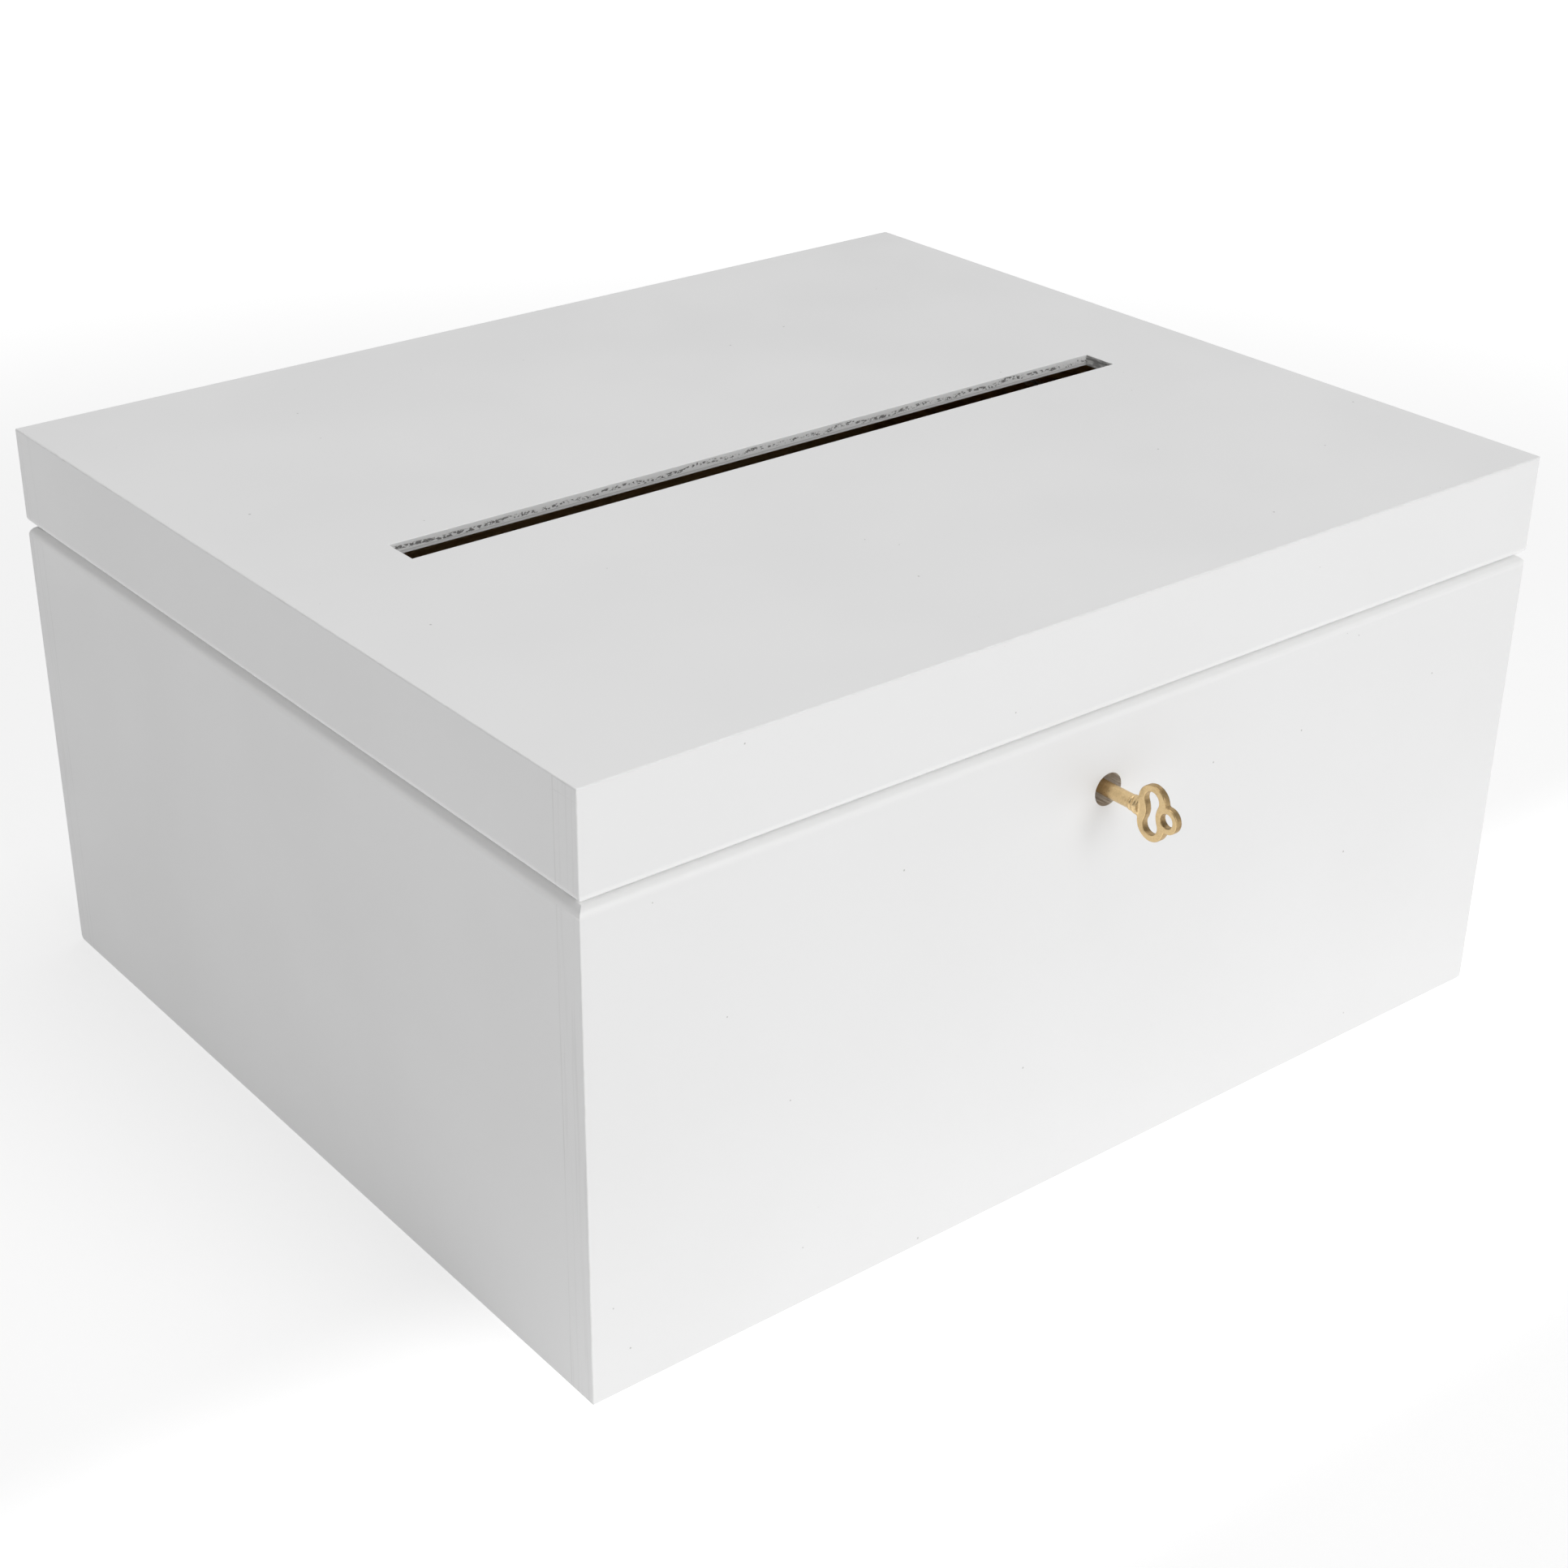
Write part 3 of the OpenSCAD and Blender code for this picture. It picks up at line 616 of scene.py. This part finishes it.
def white_paint(name, along):
    """Satin white paint, rolled over sanded boards whose joints and grain show through very faintly."""
    t = Tree(name)
    cloud = t.noise(22, 3)
    wander = t.ramp(cloud, 0.35, 0.65, 0.3, 1.0)
    lines, pits = joint_lines(t, wander), specks(t)
    ragged = t.math("MULTIPLY", t.noise(300, 3), THIN_WANDER)
    thin = t.ramp(t.total(edge_closeness(t), ragged), *THIN_EDGE, 0.5, 0.0)
    paint = t.mix(t.ramp(cloud, 0.3, 0.7, 0.0, 0.05), WHITE, THIN_PAINT)
    paint = t.mix(thin, paint, THIN_PAINT)
    # Painted light: the band just under the seam is painted paler than the paint, to lift the shade that the
    # lid's edge casts on it
    under = t.math("SUBTRACT", SEAM_Z, t.z)
    seam_band_light = t.product(t.ramp(under, *SEAM_LIGHT_REACH, 1.0, 0.0), t.above(under, 0.0))
    paint = t.mix(seam_band_light, paint, SEAM_BAND_PAINTED_LIGHT)
    paint = t.mix(t.math("MULTIPLY", lines, 0.16), paint, SPECK)
    paint = t.mix(t.math("MULTIPLY", pits, 0.55), paint, SPECK)
    peel = t.noise(700, 2)
    grain = t.noise(420, 2, vector=stretched(t, along, 0.6))
    t.set(Base_Color=paint, Roughness=t.ramp(cloud, 0.3, 0.7, 0.40, 0.50))
    t.bump(t.total(
        t.math("MULTIPLY", peel, 0.006), t.math("MULTIPLY", grain, 0.010),
        t.math("MULTIPLY", lines, -0.06), t.math("MULTIPLY", pits, -0.03),
    ))
    return t.material


def bare_wood(name, along, pith):
    """Sanded bare wood, its rings round a pith line along the grain; the paint laps over its rims."""
    t = Tree(name)
    across = t.y if along == "X" else t.x
    sway = t.noise(26, 2, vector=stretched(t, along))
    apart = [t.apart(value, place) for value, place in zip((across, t.z), pith)]
    squared = t.total(*(t.math("POWER", value, 2) for value in apart))
    radius = t.total(t.math("SQRT", squared), t.math("MULTIPLY", sway, RING_SWAY))
    ring = t.math("FRACT", t.math("DIVIDE", radius, RING_WIDTH))
    late = t.product(t.ramp(ring, 0.3, 0.92), t.ramp(ring, 1.0, 0.94))
    fibre = t.noise(1500, 3, 0.6, vector=stretched(t, along, 0.3))
    pores = t.ramp(t.noise(2600, 2, vector=stretched(t, along, 0.5)), 0.66, 0.74)
    tone = t.total(
        t.math("MULTIPLY", late, 0.62),
        t.ramp(fibre, 0.3, 0.7, -0.12, 0.16),
        t.ramp(sway, 0.3, 0.7, -0.1, 0.2),
    )
    wood = t.mix(tone, PALE_WOOD, LATE_WOOD)
    wood = t.mix(t.math("MULTIPLY", pores, 0.45), wood, PORE)
    wood_height = t.total(
        t.math("MULTIPLY", fibre, 0.03), t.math("MULTIPLY", late, 0.02), t.math("MULTIPLY", pores, -0.03)
    )
    lap = t.ramp(t.noise(130, 3), 0.3, 0.7, *LAP)
    painted = t.below(t.apart(t.z, SEAM_Z), lap, 0.1 * MM)
    t.set(Base_Color=t.mix(painted, wood, WHITE), Roughness=t.lerp(painted, 0.72, 0.5))
    t.bump(t.lerp(painted, wood_height, 0.06))
    return t.material


def slot_walls():
    """The card slot's walls: paint with a ragged band of chips under the top edge, and rougher ends."""
    t = Tree("slot_paint")
    depth = t.math("SUBTRACT", TOP_Z, t.z)
    wavy = t.ramp(t.noise(70, 2), 0.3, 0.7, *CHIP_DEPTH)
    band = t.ramp(t.apart(depth, wavy), *CHIP_BAND, 1.0, 0.0)
    left = t.ramp(t.x, -SLOT_HALF[0], -SLOT_HALF[0] / 2, 0.05, 0.0)
    fewer = t.math("SUBTRACT", t.ramp(t.noise(24, 1), 0.4, 0.6, -0.01, 0.04), left)
    flakes = t.math("SUBTRACT", t.noise(1100, 3, 0.65, vector=t.scaled((1, 1, 1.5), (0, 0.5, 0))), fewer)
    chips = t.product(band, t.ramp(flakes, 0.49, 0.55))
    ends = t.above(t.apart(t.x, SLOT[0]), SLOT_HALF[0] - TOUCH)
    hatch = t.noise(1300, 2, vector=t.scaled((1, 0.22, 1), (0.5, 0, 0)))
    # Painted light: the wall's paint is paler than the box's, standing in for the key light that falls on it
    wall = t.mix(t.math("MULTIPLY", chips, 0.8), SLOT_WALL_PAINTED_LIGHT, CHIP)
    wall = t.mix(t.line(depth, SLOT_LINE, 0.05 * MM, 0.15 * MM), wall, THIN_PAINT)
    end = t.mix(t.ramp(hatch, 0.42, 0.62), SLOT_END_DARK, SLOT_END_PALE)
    t.set(Base_Color=t.mix(ends, wall, end), Roughness=t.lerp(t.math("MAXIMUM", ends, chips), 0.6, 0.9))
    t.bump(t.total(t.math("MULTIPLY", chips, -0.08), t.product(ends, hatch, 0.08)))
    return t.material


def drilled_wood():
    """The keyhole's wall, drilled through the painted board and left raw and fibrous; its wood is painted far
    paler than raw wood, as painted light against the shade deep in the hole and under the key.
    """
    t = Tree("drilled_wood")
    swirl = t.noise(1500, 3, 0.6, vector=t.scaled((1, 0.12, 1)))
    fuzz = t.noise(900, 3, 0.6, vector=t.scaled((0.4, 1, 0.4), (0, 0.6, 0)))
    # Raw wood partly painted light: its colours are far paler than wood, to lift the shade in the hole
    raw = t.mix(t.ramp(swirl, 0.35, 0.62), RAW_DARK_WOOD_AND_PAINTED_LIGHT, RAW_WOOD_AND_PAINTED_LIGHT)
    raw = t.mix(t.ramp(fuzz, 0.55, 0.75, 0.0, 0.6), raw, FUZZ)
    t.set(Base_Color=raw, Roughness=0.9)
    t.bump(t.total(t.math("MULTIPLY", swirl, 0.10), t.math("MULTIPLY", fuzz, 0.05)))
    return t.material


# ---------------------------------------------------------------- metals
BRASS = (0.82, 0.61, 0.33)
BRASS_STAIN = (0.34, 0.23, 0.11)
EASE_METAL = 0.1 * MM                   # how much the metal plates' edges are rounded

# Each finish's name, colour, tarnish, roughness, its spread, and the way it was drawn or polished
PLATE_FINISH = ("brass_plate", (0.74, 0.59, 0.33), (0.42, 0.31, 0.15), 0.33, 0.10, (1, 1, 0.05))
SCREW_FINISH = ("screw_plate", (0.76, 0.62, 0.36), (0.36, 0.27, 0.14), 0.28, 0.08, (1, 1, 1))
STEEL_FINISH = ("zinc_steel", (0.62, 0.62, 0.61), (0.33, 0.33, 0.34), 0.34, 0.10, (1, 1, 0.05))
BOLT_FINISH = ("bolt_brass", (0.76, 0.58, 0.28), (0.45, 0.31, 0.13), 0.30, 0.08, (0.05, 1, 1))


def metal(name, colour, tarnish, rough, spread, along):
    """Satin metal: drawn or polished one way, with scratches, cloudy tarnish and fine pits."""
    t = Tree(name)
    lay = t.noise(2500, 2, vector=t.scaled(along))
    cloud = t.noise(180, 4, 0.6)
    grime = t.noise(700, 3, 0.6)
    scratch = t.ramp(t.noise(3000, 1, vector=t.scaled((0.05, 1, 1), (0.3, 0.8, 0.5))), 0.68, 0.74)
    tone = t.total(t.ramp(cloud, 0.35, 0.7, 0.0, 0.6), t.ramp(lay, 0.3, 0.7, -0.1, 0.2))
    tone = t.total(tone, t.ramp(grime, 0.6, 0.75, 0.0, 0.4))
    shine = t.total(cloud, t.math("MULTIPLY", grime, 0.5))
    t.set(
        Base_Color=t.mix(tone, colour, tarnish),
        Metallic=1.0,
        Roughness=t.ramp(shine, 0.5, 1.0, rough - spread, rough + spread),
    )
    t.bump(t.total(
        t.math("MULTIPLY", lay, 0.004),
        t.math("MULTIPLY", scratch, -0.004),
        t.math("MULTIPLY", grime, 0.01),
    ))
    return t.material


def cast_brass():
    """The key's antique brass: bright on its flats and shank, darker and rougher on its narrow sides."""
    t = Tree("antique_brass")
    flat = t.ramp(t.math("ABSOLUTE", t.axis("X", t.facing)), 0.55, 0.9)
    reach = t.math("SUBTRACT", FRONT_LOW.y, t.y)
    shank = t.below(reach, (NECK_S + 1.2) * MM, 0.6 * MM)
    rubbed = t.math("MAXIMUM", flat, shank)
    cloud = t.noise(420, 4, 0.6)
    grain = t.noise(2200, 3, 0.6)
    drawn = t.noise(2600, 2, vector=t.scaled((1, 0.06, 1)))
    stain = t.total(t.ramp(cloud, 0.45, 0.8, 0.0, 0.35), t.ramp(grain, 0.45, 0.75, 0.0, 0.2))
    tone = t.lerp(rubbed, t.total(stain, 0.7), stain)
    t.set(
        Base_Color=t.mix(tone, BRASS, BRASS_STAIN),
        Metallic=1.0,
        Roughness=t.total(t.ramp(grain, 0.3, 0.7, 0.26, 0.40), t.lerp(rubbed, 0.12, 0.0)),
    )
    t.bump(t.total(
        t.math("MULTIPLY", cloud, 0.03), t.math("MULTIPLY", grain, 0.012),
        t.product(drawn, shank, 0.02),
    ))
    return t.material


def wear(material, *nodes):
    """Gives pieces or CAD nodes the material."""
    for node in nodes:
        piece = frame["nodes"][node] if isinstance(node, str) else node
        slots = piece.data.materials
        slots.clear()
        slots.append(material)


# ---------------------------------------------------------------- the box
GRAIN_ALONG_X = [
    "base_front_board", "base_back_board", "base_bottom_panel",
    "lid_front_rail", "lid_back_rail", "lid_top_panel",
]
GRAIN_ALONG_Y = ["base_left_board", "base_right_board", "lid_left_rail", "lid_right_rail"]
BASE_BOARDS = [node for node in GRAIN_ALONG_X + GRAIN_ALONG_Y if node.startswith("base")]
LID_BOARDS = [node for node in GRAIN_ALONG_X + GRAIN_ALONG_Y if node.startswith("lid")]
PAINTED, BARE, SLOT_WALL, DRILLED = range(4)


def surface_kind(face):
    """Which of a board's four finishes a face has, from where its middle lies."""
    x, y, z = face.center
    if math.hypot(x, z - KEY_Z) < KEYHOLE_R + TOUCH and y < -INSIDE_D and abs(face.normal.y) < 0.3:
        return DRILLED
    in_slot = abs(x - SLOT[0]) < SLOT_HALF[0] + TOUCH and abs(y - SLOT[1]) < SLOT_HALF[1] + TOUCH
    if in_slot and z > CEILING_Z + TOUCH and abs(face.normal.z) < 0.3:
        return SLOT_WALL
    within = abs(x) < INSIDE_W + TOUCH and abs(y) < INSIDE_D + TOUCH
    if within and FLOOR_Z - TOUCH < z < CEILING_Z + TOUCH:
        return BARE
    return PAINTED


def make_box():
    slot, drilled = slot_walls(), drilled_wood()
    for along, nodes in (("X", GRAIN_ALONG_X), ("Y", GRAIN_ALONG_Y)):
        paint = white_paint("white_paint_" + along, along)
        bare = bare_wood("bare_wood_" + along, along, PITH[along])
        for node in nodes:
            piece = eased(node, EASE_WOOD, glued=LID_BOARDS if node.startswith("lid") else BASE_BOARDS)
            for material in (paint, bare, slot, drilled):
                piece.data.materials.append(material)
            for face in piece.data.polygons:
                face.material_index = surface_kind(face)


PLATED = [
    "hinge_base_leaf_left", "hinge_base_leaf_right", "hinge_lid_leaf_left", "hinge_lid_leaf_right",
    "lock_plate", "lock_cover", "keeper_plate",
]
SCREWS = ["hinge_base_screws", "hinge_lid_screws", "lock_screws", "keeper_screws"]
STEEL = ["hinge_pin_left", "hinge_pin_right", "lock_rivets", "lock_drill_pin", "lock_spring", "lock_rotor"]


def make_metalwork():
    wear(metal(*PLATE_FINISH), *(eased(node, EASE_METAL) for node in PLATED))
    wear(metal(*SCREW_FINISH), *SCREWS)
    wear(metal(*STEEL_FINISH), *STEEL)
    wear(metal(*BOLT_FINISH), eased("lock_bolt", EASE_METAL))
    wear(cast_brass(), make_key())


make_camera()
make_floor()
make_lights()
make_box()
make_metalwork()
